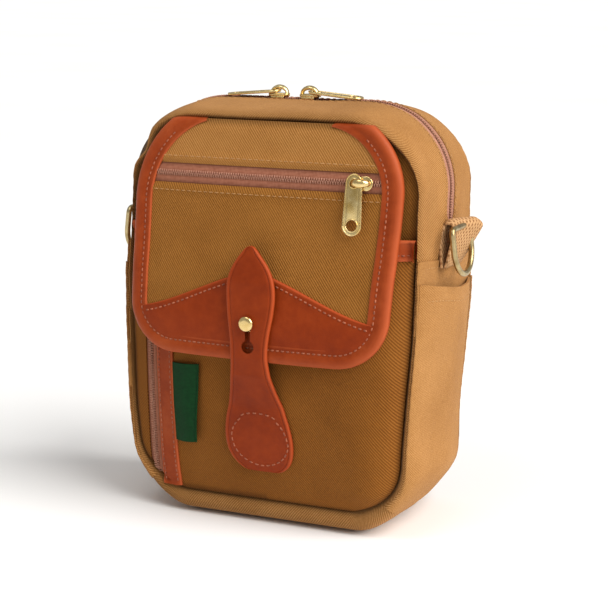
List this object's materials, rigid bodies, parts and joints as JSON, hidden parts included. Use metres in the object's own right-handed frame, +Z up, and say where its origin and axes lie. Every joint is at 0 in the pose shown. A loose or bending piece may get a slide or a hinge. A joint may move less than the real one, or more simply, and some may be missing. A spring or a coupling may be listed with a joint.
{
  "type": "binocular harness pack",
  "caption": "Small padded canvas pack with leather trim, a zipped main compartment, a front pocket under a strap-closed flap, side slip pockets and side rings for a strap",
  "frame": {"origin": "middle of the flat base, at the level the pack stands on", "axes": "+X to the right as seen from the front, +Y from the front flap to the back, +Z up"},
  "size_m": [0.1794, 0.1, 0.2088],
  "materials": {
    "canvas": "khaki-tan diagonal twill cotton canvas",
    "leather": "smooth red-brown bridle leather with burnished edges",
    "zip_tape": "woven pinkish-brown tape with a nylon coil",
    "webbing": "tan woven webbing",
    "lining": "plain brown lining cloth",
    "stiffener": "black stiffener sheet",
    "label": "dark green woven label, blank",
    "brass": "polished pale brass"
  },
  "bodies": {
    "pack": {"lower_gusset": "canvas", "gusset_front_arch": "canvas", "front_panel": "canvas", "back_panel_lower": "canvas", "lining_body": "lining", "base_board": "stiffener", "main_zip_front_tape": "zip_tape", "front_pocket_panel": "canvas", "pocket_zip_tape": "zip_tape", "pocket_zip_facing": "leather", "pocket_mouth_binding": "leather", "side_label": "label", "flap_root_seam": "canvas", "closure_strap_pad": "leather", "side_pocket_left": "canvas", "side_pocket_right": "canvas", "webbing_loop_left": "webbing", "webbing_loop_right": "webbing"},
    "rear_mouth": {"gusset_rear_arch": "canvas", "back_panel_upper": "canvas", "lining_rear": "lining", "main_zip_rear_tape": "zip_tape"},
    "flap": {"flap_backing": "canvas", "flap_canvas": "canvas", "flap_zip_tape": "zip_tape", "flap_binding": "leather", "flap_reinforcement": "leather", "stud_base": "brass", "stud_head": "brass"},
    "strap": {"closure_strap": "leather"},
    "main_slider_left": {"main_slider_left": "brass"},
    "main_slider_right": {"main_slider_right": "brass"},
    "main_puller_left": {"main_puller_left": "brass"},
    "main_puller_right": {"main_puller_right": "brass"},
    "flap_zip_slider": {"flap_zip_slider": "brass"},
    "flap_zip_puller": {"flap_zip_puller": "brass"},
    "pocket_zip_slider": {"pocket_zip_slider": "brass"},
    "pocket_zip_puller": {"pocket_zip_puller": "brass"},
    "d_ring_left": {"d_ring_left": "brass"},
    "d_ring_right": {"d_ring_right": "brass"}
  },
  "joints": [
    {"name": "mouth_open", "type": "hinge", "parent": "pack", "child": "rear_mouth", "pos_m": [0, 0.038, 0.14815], "axis": [-1, 0, 0], "range_deg": [0, 30], "deforming": ["main_zip_rear_tape"]},
    {"name": "flap_lift", "type": "hinge", "parent": "pack", "child": "flap", "pos_m": [0, -0.0412, 0.193], "axis": [-1, 0, 0], "range_deg": [0, 150]},
    {"name": "strap_swing", "type": "hinge", "parent": "pack", "child": "strap", "pos_m": [0, -0.0515, 0.0625], "axis": [1, 0, 0], "range_deg": [0, 130], "deforming": ["closure_strap"]},
    {"name": "main_slider_left_slide", "type": "slide", "parent": "pack", "child": "main_slider_left", "axis": [-1, 0, 0], "range_m": [0, 0.0225]},
    {"name": "main_slider_right_slide", "type": "slide", "parent": "pack", "child": "main_slider_right", "axis": [1, 0, 0], "range_m": [0, 0.0275]},
    {"name": "main_puller_left_lift", "type": "hinge", "parent": "main_slider_left", "child": "main_puller_left", "pos_m": [-0.0114, 0, 0.207], "axis": [0, 1, 0], "range_deg": [0, 90]},
    {"name": "main_puller_right_lift", "type": "hinge", "parent": "main_slider_right", "child": "main_puller_right", "pos_m": [0.0064, 0, 0.207], "axis": [0, -1, 0], "range_deg": [0, 90]},
    {"name": "flap_slider_slide", "type": "slide", "parent": "flap", "child": "flap_zip_slider", "axis": [-1, 0, 0], "range_m": [0, 0.102]},
    {"name": "flap_puller_swivel", "type": "hinge", "parent": "flap_zip_slider", "child": "flap_zip_puller", "pos_m": [0.0481, -0.04593, 0.17187], "axis": [0, -0.9901, 0.1406], "range_deg": [-85, 18]},
    {"name": "pocket_slider_slide", "type": "slide", "parent": "pack", "child": "pocket_zip_slider", "axis": [0, 0, -1], "range_m": [0, 0.09]},
    {"name": "pocket_puller_swivel", "type": "hinge", "parent": "pocket_zip_slider", "child": "pocket_zip_puller", "pos_m": [-0.06225, -0.04291, 0.1231], "axis": [-0.2905, -0.9569, 0], "range_deg": [-60, 30]},
    {"name": "ring_left_swing", "type": "hinge", "parent": "pack", "child": "d_ring_left", "pos_m": [-0.0856, -0.006, 0.1486], "axis": [0, 1, 0], "range_deg": [0, 150]},
    {"name": "ring_right_swing", "type": "hinge", "parent": "pack", "child": "d_ring_right", "pos_m": [0.0856, -0.006, 0.1486], "axis": [0, -1, 0], "range_deg": [0, 150]}
  ],
  "couplings": [
    {"joint": "main_slider_left_slide", "follows": "mouth_open", "m_per_rad": 0.042968},
    {"joint": "main_slider_right_slide", "follows": "mouth_open", "m_per_rad": 0.052516}
  ]
}
